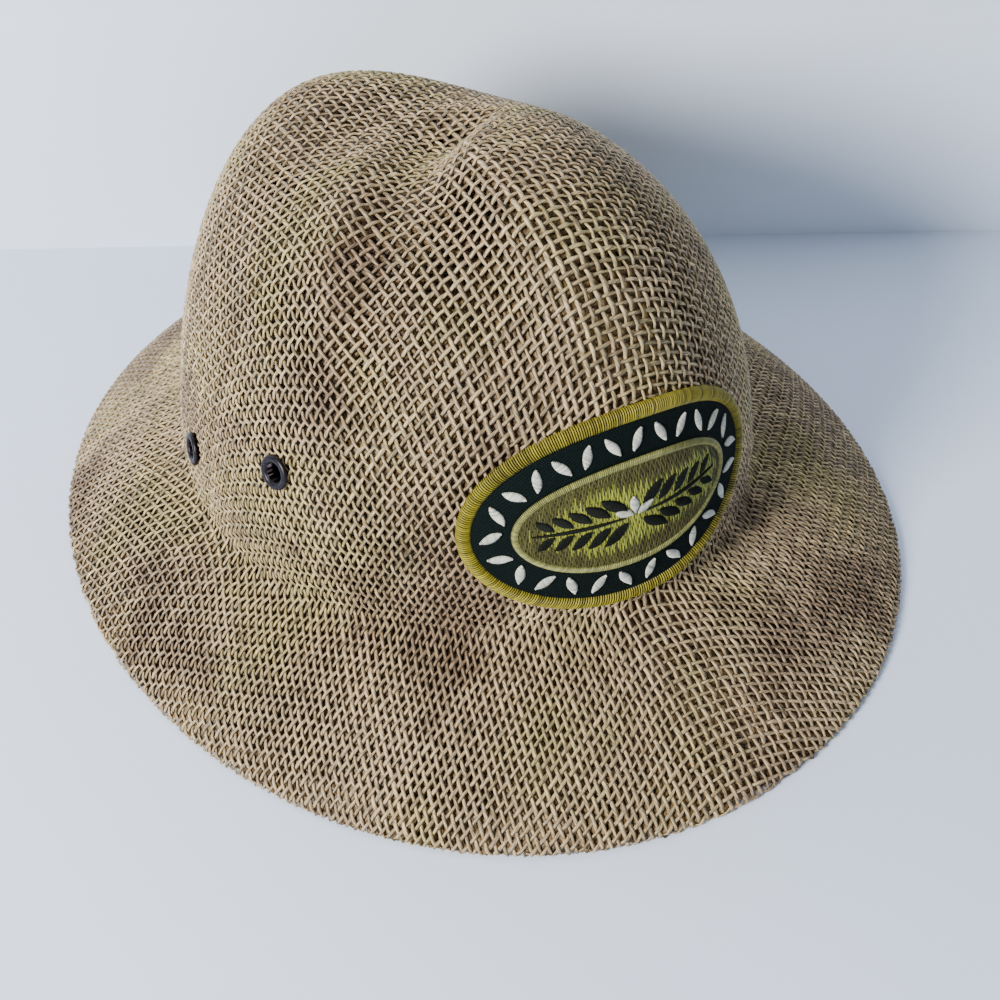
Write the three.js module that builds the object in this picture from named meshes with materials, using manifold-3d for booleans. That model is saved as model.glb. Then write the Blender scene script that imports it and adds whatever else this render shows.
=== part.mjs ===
// Safari hat: crown and brim blocked from woven straw cloth in one shell, four vent eyelets
// and an oval embroidered patch. Millimetres, +Z up, the front faces -Y, +X is the wearer's left.
import * as THREE from 'three';
import { mergeVertices } from 'three/addons/utils/BufferGeometryUtils.js';
import Module from 'manifold-3d';

const wasm = await Module();
wasm.setup();

// The shell is two layers of cloth pressed together.
const wallThickness = 2.8;
const fitGap = 0.3;

// Brim, an oval that stands on its edge.
const brimHalfWidth = 129.3;
const brimHalfLength = 151;
const brimFullness = 2.06;
const brimBow = 0.46;
const edgeHeight = 1.4;
const edgeRounding = 0.7;
const footWidth = 4.6;

// Head oval, where the crown meets the brim, measured outside.
const headHalfWidth = 89;
const headFront = 95;
const headBack = 110;
const headFullness = 1.86;
const headOffset = -2.9;
const headHeight = 33.4;
const filletLength = 9;

// Dome of the crown.
const crownRise = 114.5;
const domeRoundness = 0.607;
const domeShoulder = 0.748;
const crownTaper = 0.1;
const crownForward = 7.4;
const crownSway = -0.042;
const coreHeight = 0.175;
const sideDrop = 14.8;
const rearDip = 13.6;

// Shares of the head's half width: how the top falls off to the sides and dips behind the pinch.
const topShape = { sideSpan: 0.562, dipCentre: 0.277, dipLength: 0.337, dipWidth: 0.449 };

// The pinch: the crown's front is pressed in on the wearer's right, between a rim and a ridge
// down the front. The other side stays round. Plan lengths are shares of the head's half width,
// and heights are shares of the crown's rise.
const frontTurn = THREE.MathUtils.degToRad(-10.7);
const pinchDepth = 7.8;
const pinch = {
  rimApex: 0.21,
  rimSlope: 1.19,
  rimRound: 0.168,
  stepWidth: 0.18,
  stepStart: 0.24,
  turnCentre: -0.224,
  ridgeFront: -0.11,
  ridgeBack: 0.3,
  ridgeWidth: 0.2,
  ridgeBendStart: -0.25,
  ridgeBendLength: 0.5,
  footHeight: 0.488,
  footFade: 0.261,
  footSlope: 1.6,
  footCurve: 0.6,
  middleFootRise: 0.13,
  middleFootWidth: 0.427,
};

// Vent eyelets, a pair on each side of the crown.
const eyeletRadius = 5.4;
const eyeletHole = 2.5;
const eyeletBarrel = 3.3;
const eyeletRimHeight = 1.1;
const eyeletSeatGap = 0.6;
const eyeletTable = [
  { name: 'front', azimuth: 79.1, height: 0.358 },
  { name: 'back', azimuth: 110, height: 0.165 },
];

// Embroidered patch on the crown's front, with its layers from the cloth outwards.
const patchTurn = THREE.MathUtils.degToRad(-8.3);
const patchHalfWidth = 48.4;
const patchHalfHeight = 31.8;
const patchHeight = 0.337;
const patchGround = 0.9;
const patchSeatGap = 0.55;
const borderWidth = 3.8;
const borderHeight = 1.9;
const fieldHalfWidth = 33.2;
const fieldHalfHeight = 17;
const fieldThread = 0.6;
const ringWidth = 2;
const ringHeight = 1.1;

// Facets
const columns = 72;
const crownRows = 18;
const filletRows = 3;
const brimRows = 6;
const patchSectors = 40;
const eyeletSides = 16;
const facetAllowance = 0.1;

const colours = {
  straw: 0xa08a63,
  eyelet: 0x2d2a28,
  ground: 0x1d3a2b,
  border: 0x9a8a38,
  field: 0x8f9440,
  ring: 0xd6d3a0,
};

function smoothStep(value) {
  const x = Math.min(1, Math.max(0, value));
  return x * x * (3 - 2 * x);
}

// Radius of an oval at an azimuth counted from the front (-Y) towards +X.
function ovalRadius(azimuth, halfWidth, front, back, fullness) {
  const length = Math.cos(azimuth) > 0 ? front : back;
  const side = Math.abs(Math.sin(azimuth) / halfWidth) ** fullness;
  const along = Math.abs(Math.cos(azimuth) / length) ** fullness;
  return (side + along) ** (-1 / fullness);
}

function headRadius(azimuth) {
  return ovalRadius(azimuth, headHalfWidth, headFront, headBack, headFullness);
}

// How far the pinch presses a point of the dome inwards; the point is given before the sway.
function pinchAt(x, y, z) {
  const turnY = pinch.turnCentre * headHalfWidth;
  const along = y - headOffset - turnY;
  const across = x * Math.cos(frontTurn) + along * Math.sin(frontTurn);
  const depthwise = along * Math.cos(frontTurn) - x * Math.sin(frontTurn) + turnY;
  const round = pinch.rimRound * headHalfWidth;
  const rim = pinch.rimApex * headHalfWidth - pinch.rimSlope * (Math.hypot(across, round) - round);
  const beyondRim = (rim - depthwise) / Math.hypot(1, pinch.rimSlope);
  const step = smoothStep(beyondRim / (pinch.stepWidth * headHalfWidth) + pinch.stepStart);
  const middle = Math.exp(-((across / (pinch.middleFootWidth * headHalfWidth)) ** 2));
  const footZ = headHeight + (pinch.footHeight + pinch.middleFootRise * middle) * crownRise;
  const overFoot = Math.max(0, z - footZ) / (pinch.footFade * crownRise);
  const rise = 1 - Math.exp(-pinch.footSlope * overFoot - pinch.footCurve * overFoot ** 2);
  const bend = (depthwise / headHalfWidth - pinch.ridgeBendStart) / pinch.ridgeBendLength;
  const ridge = pinch.ridgeFront + (pinch.ridgeBack - pinch.ridgeFront) * smoothStep(bend);
  const side = 1 - smoothStep((across / headHalfWidth - ridge) / pinch.ridgeWidth + 0.5);
  return pinchDepth * step * rise * side;
}

// Outside of the crown: level 0 is the top of the dome and level 1 its foot.
function crownPoint(azimuth, level) {
  const angle = ((1 - Math.cos(Math.PI * level)) * Math.PI) / 4;
  const spread = Math.sin(angle) ** domeRoundness;
  const rise = Math.max(0, Math.cos(angle)) ** domeShoulder;
  const radius = spread * (1 - crownTaper * rise) * headRadius(azimuth);
  const x = radius * Math.sin(azimuth);
  const y = headOffset - radius * Math.cos(azimuth) - crownForward * rise;
  const dipMiddle = headOffset + topShape.dipCentre * headHalfWidth;
  const dipAlong = (y - dipMiddle) / (topShape.dipLength * headHalfWidth);
  const dipAcross = x / (topShape.dipWidth * headHalfWidth);
  let z = headHeight + crownRise * rise;
  z -= sideDrop * rise * (x / (topShape.sideSpan * headHalfWidth)) ** 2;
  z -= rearDip * Math.exp(-(dipAlong ** 2) - dipAcross ** 2);
  const press = pinchAt(x, y, z);
  const point = new THREE.Vector3(x + crownSway * (z - headHeight), y, z);
  const core = new THREE.Vector3(0, headOffset, headHeight + coreHeight * crownRise);
  const inwards = core.sub(point).normalize();
  return point.addScaledVector(inwards, press);
}

// Outside of the brim: reach 0 is the crown's foot and reach 1 the outer edge.
function brimPoint(azimuth, reach) {
  const inner = headRadius(azimuth);
  const outer = ovalRadius(azimuth, brimHalfWidth, brimHalfLength, brimHalfLength, brimFullness);
  const radius = inner + (outer - inner) * reach;
  const fall = (1 - brimBow) * reach + brimBow * reach ** 2;
  const z = headHeight - (headHeight - edgeHeight) * fall;
  const centre = headOffset * (1 - reach);
  return new THREE.Vector3(radius * Math.sin(azimuth), centre - radius * Math.cos(azimuth), z);
}

const crownFillet = filletLength / (headHalfWidth + crownRise);
const brimFillet = filletLength / (brimHalfWidth - headHalfWidth);

// Places down the shell: 0 is the top of the crown, then its foot, then the brim's outer edge.
const crownFoot = 1;
const brimEdge = 2;
const bendStart = crownFoot - crownFillet;
const bendEnd = crownFoot + brimFillet;

// Outside of the whole shell at a place, with a soft bend between the crown and the brim.
function shellPoint(azimuth, place) {
  if (place <= bendStart) return crownPoint(azimuth, place);
  if (place >= bendEnd) return brimPoint(azimuth, place - crownFoot);
  const share = (place - bendStart) / (bendEnd - bendStart);
  const bend = crownPoint(azimuth, bendStart).multiplyScalar((1 - share) ** 2);
  bend.addScaledVector(brimPoint(azimuth, 0), 2 * share * (1 - share));
  return bend.addScaledVector(brimPoint(azimuth, brimFillet), share ** 2);
}

const placeStep = 0.004;
const turnStep = 0.02;

// Outward normal of the shell, by small steps along the surface, wider round the dome's top.
function shellNormal(azimuth, place) {
  const turn = Math.max(turnStep, turnStep / (place * 4 + turnStep));
  const before = Math.max(placeStep, place - placeStep);
  const after = Math.min(brimEdge, place + placeStep);
  const down = shellPoint(azimuth, after).sub(shellPoint(azimuth, before));
  const round = shellPoint(azimuth + turn, place).sub(shellPoint(azimuth - turn, place));
  return round.cross(down).normalize().negate();
}

function closedGeometry(points, faces) {
  const geometry = new THREE.BufferGeometry();
  const coordinates = points.flatMap((point) => [point.x, point.y, point.z]);
  geometry.setAttribute('position', new THREE.Float32BufferAttribute(coordinates, 3));
  geometry.setIndex(faces);
  return geometry;
}

// Faces between two rings of vertices that start at the given indices.
function joinRings(faces, first, second, count) {
  for (let k = 0; k < count; k += 1) {
    const next = (k + 1) % count;
    faces.push(first + k, second + k, second + next);
    faces.push(first + k, second + next, first + next);
  }
}

function placesOfShell() {
  const places = [];
  const addPlaces = (start, end, rows) => {
    for (let k = 1; k <= rows; k += 1) places.push(start + ((end - start) * k) / rows);
  };
  addPlaces(0, bendStart, crownRows);
  addPlaces(bendStart, bendEnd, filletRows);
  addPlaces(bendEnd, brimEdge, brimRows);
  return places;
}

// The hat's body: outside, rounded edge, flat foot and inside in one closed surface.
function wovenBodyGeometry() {
  const places = placesOfShell();
  const points = [];
  const rows = [];
  const addRow = (make) => {
    rows.push(points.length);
    for (let k = 0; k < columns; k += 1) points.push(make((k / columns) * 2 * Math.PI));
  };
  const insidePoint = (azimuth, place) => {
    const inwards = shellNormal(azimuth, place).multiplyScalar(-wallThickness);
    return shellPoint(azimuth, place).add(inwards);
  };
  const footPoint = (azimuth, inset) => {
    const point = brimPoint(azimuth, 1);
    const length = Math.hypot(point.x, point.y);
    const scale = (length - inset) / length;
    return new THREE.Vector3(point.x * scale, point.y * scale, 0);
  };
  points.push(shellPoint(0, 0));
  places.forEach((place) => addRow((azimuth) => shellPoint(azimuth, place)));
  addRow((azimuth) => footPoint(azimuth, edgeRounding));
  addRow((azimuth) => footPoint(azimuth, edgeRounding + footWidth));
  const insidePlaces = places.slice(0, -1).reverse();
  insidePlaces.forEach((place) => addRow((azimuth) => insidePoint(azimuth, place)));
  const top = shellPoint(0, 0);
  points.push(top.setZ(top.z - wallThickness));
  const faces = [];
  for (let k = 0; k < columns; k += 1) {
    const next = (k + 1) % columns;
    faces.push(0, rows[0] + k, rows[0] + next);
    const last = rows[rows.length - 1];
    faces.push(points.length - 1, last + next, last + k);
  }
  for (let k = 0; k + 1 < rows.length; k += 1) joinRings(faces, rows[k], rows[k + 1], columns);
  return closedGeometry(points, faces);
}

function toManifold(geometry) {
  const bare = geometry.clone();
  bare.deleteAttribute('normal');
  bare.deleteAttribute('uv');
  const merged = mergeVertices(bare, 1e-4);
  const vertProperties = new Float32Array(merged.attributes.position.array);
  const triVerts = new Uint32Array(merged.index.array);
  return new wasm.Manifold(new wasm.Mesh({ numProp: 3, vertProperties, triVerts }));
}

function fromManifold(solid) {
  const mesh = solid.getMesh();
  const geometry = new THREE.BufferGeometry();
  geometry.setAttribute('position', new THREE.BufferAttribute(mesh.vertProperties, 3));
  geometry.setIndex(new THREE.BufferAttribute(mesh.triVerts, 1));
  return geometry;
}

// Place on the crown's wall at an azimuth and a height given as a share of the crown's rise.
function wallPlace(azimuth, heightShare) {
  const height = headHeight + heightShare * crownRise;
  let low = 0.3;
  let high = 1;
  for (let k = 0; k < 40; k += 1) {
    const middle = (low + high) / 2;
    if (shellPoint(azimuth, middle).z > height) low = middle;
    else high = middle;
  }
  return (low + high) / 2;
}

// Each eyelet's seat: its centre on the outside of the wall and its outward direction.
function eyeletSeats() {
  const seats = [];
  for (const side of [{ name: 'right', sign: -1 }, { name: 'left', sign: 1 }]) {
    for (const row of eyeletTable) {
      const azimuth = THREE.MathUtils.degToRad(row.azimuth) * side.sign;
      const place = wallPlace(azimuth, row.height);
      const centre = shellPoint(azimuth, place);
      const outward = shellNormal(azimuth, place);
      seats.push({ name: `vent_eyelet_${side.name}_${row.name}`, centre, outward });
    }
  }
  return seats;
}

const upAxis = new THREE.Vector3(0, 1, 0);

function bodyWithVents(seats) {
  let body = toManifold(wovenBodyGeometry());
  for (const seat of seats) {
    const radius = eyeletBarrel + fitGap;
    const drill = new THREE.CylinderGeometry(radius, radius, 4 * wallThickness, eyeletSides);
    drill.applyQuaternion(new THREE.Quaternion().setFromUnitVectors(upAxis, seat.outward));
    const middle = seat.centre.clone().addScaledVector(seat.outward, -wallThickness / 2);
    drill.translate(middle.x, middle.y, middle.z);
    body = body.subtract(toManifold(drill));
  }
  return fromManifold(body);
}

// One turned eyelet: barrel through the wall with a rolled rim outside and a washer inside.
function eyeletGeometry() {
  const outside = eyeletSeatGap;
  const inside = -wallThickness - eyeletSeatGap;
  const shoulder = (eyeletRadius + eyeletHole) / 2;
  const profile = [
    [eyeletHole, inside - eyeletRimHeight / 2],
    [eyeletRadius, inside - eyeletRimHeight / 2],
    [eyeletRadius, inside],
    [eyeletBarrel, inside],
    [eyeletBarrel, outside],
    [eyeletRadius, outside],
    [eyeletRadius, outside + eyeletRimHeight * 0.4],
    [shoulder, outside + eyeletRimHeight],
    [eyeletHole, outside + eyeletRimHeight * 0.6],
    [eyeletHole, inside - eyeletRimHeight / 2],
  ];
  const turned = new THREE.LatheGeometry(profile.map(([r, y]) => new THREE.Vector2(r, y)), eyeletSides);
  turned.deleteAttribute('normal');
  turned.deleteAttribute('uv');
  return mergeVertices(turned, 1e-4);
}

// Azimuths against arc length along the wall at the patch's middle height.
function patchArc() {
  const samples = [];
  const half = Math.PI / 2;
  const count = 180;
  let length = 0;
  let previous = null;
  for (let k = 0; k <= count; k += 1) {
    const azimuth = patchTurn - half + (2 * half * k) / count;
    const point = shellPoint(azimuth, wallPlace(azimuth, patchHeight));
    if (previous) length += point.distanceTo(previous);
    samples.push({ azimuth, length });
    previous = point;
  }
  const middle = samples[count / 2].length;
  return samples.map((sample) => ({ azimuth: sample.azimuth, length: sample.length - middle }));
}

const arcTable = patchArc();

function azimuthAlong(distance) {
  const after = arcTable.findIndex((sample) => sample.length >= distance);
  const high = arcTable[after];
  const low = arcTable[after - 1];
  const share = (distance - low.length) / (high.length - low.length);
  return low.azimuth + share * (high.azimuth - low.azimuth);
}

// Point over the wall: across and up from the patch's middle, lifted off the cloth.
function patchPoint(across, up, lift) {
  const azimuth = azimuthAlong(across);
  const place = wallPlace(azimuth, patchHeight + up / crownRise);
  return shellPoint(azimuth, place).addScaledVector(shellNormal(azimuth, place), lift);
}

function ovalRing(points, halfWidth, halfHeight, lift) {
  const first = points.length;
  for (let k = 0; k < patchSectors; k += 1) {
    const angle = (k / patchSectors) * 2 * Math.PI;
    points.push(patchPoint(halfWidth * Math.cos(angle), halfHeight * Math.sin(angle), lift));
  }
  return first;
}

// Oval slab that lies over the wall, with rings at shares of its half sizes.
function ovalSlab(halfWidth, halfHeight, bottom, top) {
  const shares = [1, 0.75, 0.5, 0.25];
  const points = [];
  const faces = [];
  const upper = shares.map((share) => ovalRing(points, halfWidth * share, halfHeight * share, top));
  const lower = shares.map((share) => ovalRing(points, halfWidth * share, halfHeight * share, bottom));
  const upperMiddle = points.push(patchPoint(0, 0, top)) - 1;
  const lowerMiddle = points.push(patchPoint(0, 0, bottom)) - 1;
  for (let k = 0; k + 1 < shares.length; k += 1) {
    joinRings(faces, upper[k + 1], upper[k], patchSectors);
    joinRings(faces, lower[k], lower[k + 1], patchSectors);
  }
  joinRings(faces, upper[0], lower[0], patchSectors);
  const lastRing = shares.length - 1;
  for (let k = 0; k < patchSectors; k += 1) {
    const next = (k + 1) % patchSectors;
    faces.push(upperMiddle, upper[lastRing] + k, upper[lastRing] + next);
    faces.push(lowerMiddle, lower[lastRing] + next, lower[lastRing] + k);
  }
  return closedGeometry(points, faces);
}

// Oval band with a rounded section; each row is an inset from its outline and a lift.
function ovalBand(halfWidth, halfHeight, section) {
  const points = [];
  const faces = [];
  const rings = section.map(({ inset, lift }) =>
    ovalRing(points, halfWidth - inset, halfHeight - inset, lift),
  );
  rings.forEach((ring, k) => joinRings(faces, rings[(k + 1) % rings.length], ring, patchSectors));
  return closedGeometry(points, faces);
}

function bandSection(width, bottom, height) {
  return [
    { inset: 0, lift: bottom },
    { inset: 0, lift: bottom + height * 0.5 },
    { inset: width * 0.25, lift: bottom + height },
    { inset: width * 0.75, lift: bottom + height },
    { inset: width, lift: bottom + height * 0.5 },
    { inset: width, lift: bottom },
  ];
}

function patchGeometries() {
  const groundInset = borderWidth + fitGap;
  const groundWidth = patchHalfWidth - groundInset;
  const groundHeight = patchHalfHeight - groundInset;
  const groundTop = patchSeatGap + patchGround;
  const threadBottom = groundTop + fitGap + facetAllowance;
  const fieldInset = ringWidth + fitGap;
  const borderSection = bandSection(borderWidth, patchSeatGap, borderHeight);
  const ringSection = bandSection(ringWidth, threadBottom, ringHeight);
  return {
    patch_ground: ovalSlab(groundWidth, groundHeight, patchSeatGap, groundTop),
    patch_border: ovalBand(patchHalfWidth, patchHalfHeight, borderSection),
    patch_ring: ovalBand(fieldHalfWidth, fieldHalfHeight, ringSection),
    patch_field: ovalSlab(
      fieldHalfWidth - fieldInset,
      fieldHalfHeight - fieldInset,
      threadBottom,
      threadBottom + fieldThread,
    ),
  };
}

function namedMesh(name, geometry, color, roughness, metalness) {
  const material = new THREE.MeshStandardMaterial({ color, roughness, metalness });
  const mesh = new THREE.Mesh(geometry, material);
  mesh.name = name;
  return mesh;
}

const hat = new THREE.Group();
const seats = eyeletSeats();
hat.add(namedMesh('woven_body', bodyWithVents(seats), colours.straw, 0.85, 0));

for (const seat of seats) {
  const eyelet = namedMesh(seat.name, eyeletGeometry(), colours.eyelet, 0.45, 0.8);
  eyelet.position.copy(seat.centre);
  eyelet.quaternion.setFromUnitVectors(upAxis, seat.outward);
  hat.add(eyelet);
}

const patch = patchGeometries();
hat.add(namedMesh('patch_ground', patch.patch_ground, colours.ground, 0.9, 0));
hat.add(namedMesh('patch_border', patch.patch_border, colours.border, 0.7, 0));
hat.add(namedMesh('patch_ring', patch.patch_ring, colours.ring, 0.6, 0));
hat.add(namedMesh('patch_field', patch.patch_field, colours.field, 0.8, 0));

export default hat;
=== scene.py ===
import functools
import math

import bmesh
import bpy
import numpy as np
from mathutils import Matrix, Quaternion, Vector


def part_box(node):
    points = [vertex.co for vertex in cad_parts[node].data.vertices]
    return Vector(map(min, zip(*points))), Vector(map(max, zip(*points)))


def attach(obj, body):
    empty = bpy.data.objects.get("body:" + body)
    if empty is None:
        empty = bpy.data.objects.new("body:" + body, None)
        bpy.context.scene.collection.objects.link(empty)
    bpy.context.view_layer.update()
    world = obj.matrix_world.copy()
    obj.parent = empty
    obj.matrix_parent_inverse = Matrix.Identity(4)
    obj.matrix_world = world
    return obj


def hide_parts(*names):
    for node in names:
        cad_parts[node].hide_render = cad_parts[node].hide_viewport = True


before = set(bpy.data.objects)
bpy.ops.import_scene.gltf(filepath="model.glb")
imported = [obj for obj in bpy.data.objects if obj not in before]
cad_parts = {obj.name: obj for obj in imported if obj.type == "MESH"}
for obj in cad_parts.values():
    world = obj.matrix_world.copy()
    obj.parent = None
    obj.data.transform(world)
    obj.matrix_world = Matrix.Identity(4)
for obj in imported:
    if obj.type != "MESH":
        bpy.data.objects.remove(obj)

bl_info = {
    "name": "Safari hat",
    "version": (1, 0, 0),
    "blender": (4, 5, 0),
    "location": "3D View > Sidebar > Hat",
    "description": "Woven straw safari hat with vent eyelets and an embroidered patch",
    "category": "Object",
}

MM = 0.001
BODY_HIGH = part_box("woven_body")[1]

# The blocked shell, as the frame has it: brim, head oval and dome.
BRIM_HALF_WIDTH = BODY_HIGH.x
BRIM_HALF_LENGTH = BODY_HIGH.y
BRIM_FULLNESS = 2.06
BRIM_BOW = 0.46
EDGE_HEIGHT = 1.4 * MM
WALL_THICKNESS = 2.8 * MM
HEAD_HALF_WIDTH = 89 * MM
HEAD_FRONT = 95 * MM
HEAD_BACK = 110 * MM
HEAD_FULLNESS = 1.86
HEAD_OFFSET = -2.9 * MM
HEAD_HEIGHT = 33.4 * MM
FILLET_LENGTH = 9 * MM
CROWN_RISE = 114.5 * MM
DOME_ROUNDNESS = 0.607
DOME_SHOULDER = 0.748
CROWN_TAPER = 0.1
CROWN_FORWARD = 7.4 * MM
CROWN_SWAY = -0.042
CORE_HEIGHT = 0.175
SIDE_DROP = 14.8 * MM
REAR_DIP = 13.6 * MM
SIDE_SPAN = 0.562 * HEAD_HALF_WIDTH
DIP_CENTRE = 0.277 * HEAD_HALF_WIDTH
DIP_LENGTH = 0.337 * HEAD_HALF_WIDTH
DIP_WIDTH = 0.449 * HEAD_HALF_WIDTH

# The pinch in the crown's front.
FRONT_TURN = math.radians(-10.7)
PINCH_DEPTH = 7.8 * MM
RIM_APEX = 0.21 * HEAD_HALF_WIDTH
RIM_SLOPE = 1.19
RIM_ROUND = 0.168 * HEAD_HALF_WIDTH
STEP_WIDTH = 0.18 * HEAD_HALF_WIDTH
STEP_START = 0.24
TURN_CENTRE = -0.224 * HEAD_HALF_WIDTH
RIDGE_FRONT = -0.11 * HEAD_HALF_WIDTH
RIDGE_BACK = 0.3 * HEAD_HALF_WIDTH
RIDGE_WIDTH = 0.2 * HEAD_HALF_WIDTH
RIDGE_BEND_START = -0.25 * HEAD_HALF_WIDTH
RIDGE_BEND_LENGTH = 0.5 * HEAD_HALF_WIDTH
FOOT_HEIGHT = 0.488
FOOT_FADE = 0.261
FOOT_SLOPE = 1.6
FOOT_CURVE = 0.6
MIDDLE_FOOT_RISE = 0.13
MIDDLE_FOOT_WIDTH = 0.427 * HEAD_HALF_WIDTH

# The patch's place on the wall.
PATCH_TURN = math.radians(-8.3)
PATCH_HALF_WIDTH = 48.4 * MM
PATCH_HALF_HEIGHT = 31.8 * MM
PATCH_HEIGHT = HEAD_HEIGHT + 0.337 * CROWN_RISE

EYELETS = (
    "vent_eyelet_right_front",
    "vent_eyelet_right_back",
    "vent_eyelet_left_front",
    "vent_eyelet_left_back",
)
EYELET_AZIMUTHS = (-79.1, -110, 79.1, 110)
EYELET_HEIGHTS = (0.358, 0.165, 0.358, 0.165)
WALL_START = 0.3
WALL_HALVINGS = 30


def smooth_step(value):
    x = np.clip(value, 0, 1)
    return x * x * (3 - 2 * x)


def unit(vectors):
    return vectors / np.maximum(np.linalg.norm(vectors, axis=-1, keepdims=True), 1e-12)


def oval_radius(azimuth, half_width, front, back, fullness):
    """Radius of an oval at an azimuth counted from the front (-Y) towards +X."""
    length = np.where(np.cos(azimuth) > 0, front, back)
    side = np.abs(np.sin(azimuth) / half_width) ** fullness
    along = np.abs(np.cos(azimuth) / length) ** fullness
    return (side + along) ** (-1 / fullness)


def head_radius(azimuth):
    return oval_radius(azimuth, HEAD_HALF_WIDTH, HEAD_FRONT, HEAD_BACK, HEAD_FULLNESS)


def pinch_at(x, y, z):
    """How far the pinch presses a point of the dome inwards."""
    along = y - HEAD_OFFSET - TURN_CENTRE
    across = x * math.cos(FRONT_TURN) + along * math.sin(FRONT_TURN)
    depthwise = along * math.cos(FRONT_TURN) - x * math.sin(FRONT_TURN) + TURN_CENTRE
    rim = RIM_APEX - RIM_SLOPE * (np.hypot(across, RIM_ROUND) - RIM_ROUND)
    step = smooth_step((rim - depthwise) / math.hypot(1, RIM_SLOPE) / STEP_WIDTH + STEP_START)
    middle = np.exp(-((across / MIDDLE_FOOT_WIDTH) ** 2))
    foot = HEAD_HEIGHT + (FOOT_HEIGHT + MIDDLE_FOOT_RISE * middle) * CROWN_RISE
    over_foot = np.maximum(0, z - foot) / (FOOT_FADE * CROWN_RISE)
    rise = 1 - np.exp(-FOOT_SLOPE * over_foot - FOOT_CURVE * over_foot**2)
    bend = smooth_step((depthwise - RIDGE_BEND_START) / RIDGE_BEND_LENGTH)
    ridge = RIDGE_FRONT + (RIDGE_BACK - RIDGE_FRONT) * bend
    side = 1 - smooth_step((across - ridge) / RIDGE_WIDTH + 0.5)
    return PINCH_DEPTH * step * rise * side


def crown_points(azimuth, level):
    """Outside of the crown: level 0 is the top of the dome and level 1 its foot."""
    angle = (1 - np.cos(np.pi * level)) * np.pi / 4
    spread = np.sin(angle) ** DOME_ROUNDNESS
    rise = np.maximum(0, np.cos(angle)) ** DOME_SHOULDER
    radius = spread * (1 - CROWN_TAPER * rise) * head_radius(azimuth)
    x = radius * np.sin(azimuth)
    y = HEAD_OFFSET - radius * np.cos(azimuth) - CROWN_FORWARD * rise
    dip_along = (y - HEAD_OFFSET - DIP_CENTRE) / DIP_LENGTH
    z = HEAD_HEIGHT + CROWN_RISE * rise
    z = z - SIDE_DROP * rise * (x / SIDE_SPAN) ** 2
    z = z - REAR_DIP * np.exp(-(dip_along**2) - (x / DIP_WIDTH) ** 2)
    press = pinch_at(x, y, z)
    points = np.stack([x + CROWN_SWAY * (z - HEAD_HEIGHT), y, z], -1)
    core = np.array([0, HEAD_OFFSET, HEAD_HEIGHT + CORE_HEIGHT * CROWN_RISE])
    return points + unit(core - points) * press[..., None]


def brim_points(azimuth, reach):
    """Outside of the brim: reach 0 is the crown's foot and reach 1 the outer edge."""
    inner = head_radius(azimuth)
    outer = oval_radius(
        azimuth, BRIM_HALF_WIDTH, BRIM_HALF_LENGTH, BRIM_HALF_LENGTH, BRIM_FULLNESS
    )
    radius = inner + (outer - inner) * reach
    fall = (1 - BRIM_BOW) * reach + BRIM_BOW * reach**2
    z = HEAD_HEIGHT - (HEAD_HEIGHT - EDGE_HEIGHT) * fall
    y = HEAD_OFFSET * (1 - reach) - radius * np.cos(azimuth)
    return np.stack([radius * np.sin(azimuth), y, z], -1)


def shell_points(azimuth, place):
    """Outside of the shell: place 0 to 1 is the crown, 1 to 2 the brim, with a soft bend."""
    azimuth, place = np.broadcast_arrays(azimuth, place)
    start = 1 - FILLET_LENGTH / (HEAD_HALF_WIDTH + CROWN_RISE)
    end = 1 + FILLET_LENGTH / (BRIM_HALF_WIDTH - HEAD_HALF_WIDTH)
    share = np.clip((place - start) / (end - start), 0, 1)[..., None]
    crown = crown_points(azimuth, np.minimum(place, start))
    corner = brim_points(azimuth, np.zeros_like(place))
    brim = brim_points(azimuth, np.maximum(place, end) - 1)
    return crown * (1 - share) ** 2 + corner * 2 * share * (1 - share) + brim * share**2


def shell_normals(azimuth, place):
    """Outward normals of the shell, from small steps round it and down it."""
    azimuth, place = np.broadcast_arrays(azimuth, place)
    small = 0.004
    turn = np.maximum(0.02, 0.02 / (place * 4 + 0.02))
    before = np.maximum(small, place - small)
    down = shell_points(azimuth, np.minimum(2, place + small)) - shell_points(azimuth, before)
    sideways = shell_points(azimuth + turn, place) - shell_points(azimuth - turn, place)
    return -unit(np.cross(sideways, down))


def wall_place(azimuth, height):
    """Place on the crown's wall at a height, found by halving."""
    low = np.full(np.shape(azimuth), WALL_START)
    high = np.ones(np.shape(azimuth))
    for _ in range(WALL_HALVINGS):
        middle = (low + high) / 2
        above = shell_points(azimuth, middle)[..., 2] > height
        low = np.where(above, middle, low)
        high = np.where(above, high, middle)
    return (low + high) / 2


def length_setting(name, description, default):
    return bpy.props.FloatProperty(
        name=name, description=description, default=default, unit="LENGTH"
    )


def angle_setting(name, description, default):
    return bpy.props.FloatProperty(
        name=name, description=description, default=default, subtype="ANGLE"
    )


def colour_setting(name, description, default):
    return bpy.props.FloatVectorProperty(
        name=name, description=description, default=default, size=3, subtype="COLOR"
    )


class HatClothSettings(bpy.types.PropertyGroup):
    """Sizes of the woven straw cloth."""

    pitch: length_setting(
        "Yarn pitch", "Distance between the middles of two neighbouring yarns", 3.0 * MM
    )
    yarn_width: length_setting("Yarn width", "Width of one flat yarn", 1.08 * MM)
    yarn_thickness: length_setting("Yarn thickness", "Thickness of one flat yarn", 0.6 * MM)
    inner_width: length_setting(
        "Inner yarn width", "Width of one yarn of the denser inner layer", 2.05 * MM
    )
    hem_width: length_setting(
        "Hem width", "How far the outer layer is turned in under the edge", 10 * MM
    )
    layer_turn: angle_setting(
        "Layer turn", "How far the inner layer's weave is turned against the outer one", 0.05
    )
    seed: bpy.props.IntProperty(
        name="Seed",
        description="Start of the random numbers that make the yarns uneven",
        default=11,
    )


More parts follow.
